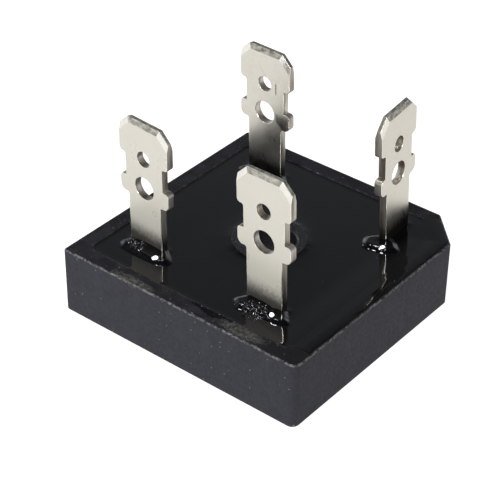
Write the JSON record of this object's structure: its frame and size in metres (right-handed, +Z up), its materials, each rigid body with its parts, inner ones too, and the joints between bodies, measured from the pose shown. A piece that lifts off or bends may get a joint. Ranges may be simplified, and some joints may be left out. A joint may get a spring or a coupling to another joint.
{
  "type": "bridge rectifier",
  "caption": "Square potted bridge rectifier with a central screw hole, a cut corner and upright blade terminals for push-on receptacles or soldered wires.",
  "frame": {"origin": "middle of the screw hole on the underside of the heat spreader", "axes": "+Z up along the terminals and the screw hole, +X and +Y along the case's sides, towards the cut corner"},
  "size_m": [0.0286, 0.0286, 0.0218],
  "materials": {
    "case": "matt moulded",
    "base_plate": "nickel plated, satin",
    "sleeve": "matt moulded",
    "potting": "cast epoxy, glossy",
    "ceramic": "fired alumina",
    "copper": "bare copper",
    "silicon": "passivated",
    "solder": "dull solder",
    "terminal": "tin plated, satin"
  },
  "bodies": {
    "root": {"case": "case", "base_plate": "base_plate", "centre_sleeve": "sleeve", "potting_epoxy": "potting", "ceramic_insulator": "ceramic", "ac_frame_front": "copper", "ac_frame_back": "copper", "minus_strap": "copper", "plus_strap": "copper", "die_front_minus": "silicon", "solder_under_front_minus": "solder", "solder_over_front_minus": "solder", "die_front_plus": "silicon", "solder_under_front_plus": "solder", "solder_over_front_plus": "solder", "die_back_plus": "silicon", "solder_under_back_plus": "solder", "solder_over_back_plus": "solder", "die_back_minus": "silicon", "solder_under_back_minus": "solder", "solder_over_back_minus": "solder", "terminal_ac_front": "terminal", "terminal_ac_back": "terminal", "terminal_minus": "terminal", "terminal_plus": "terminal", "terminal_solder_front": "solder", "terminal_solder_back": "solder", "terminal_solder_minus": "solder", "terminal_solder_plus": "solder"}
  },
  "joints": []
}
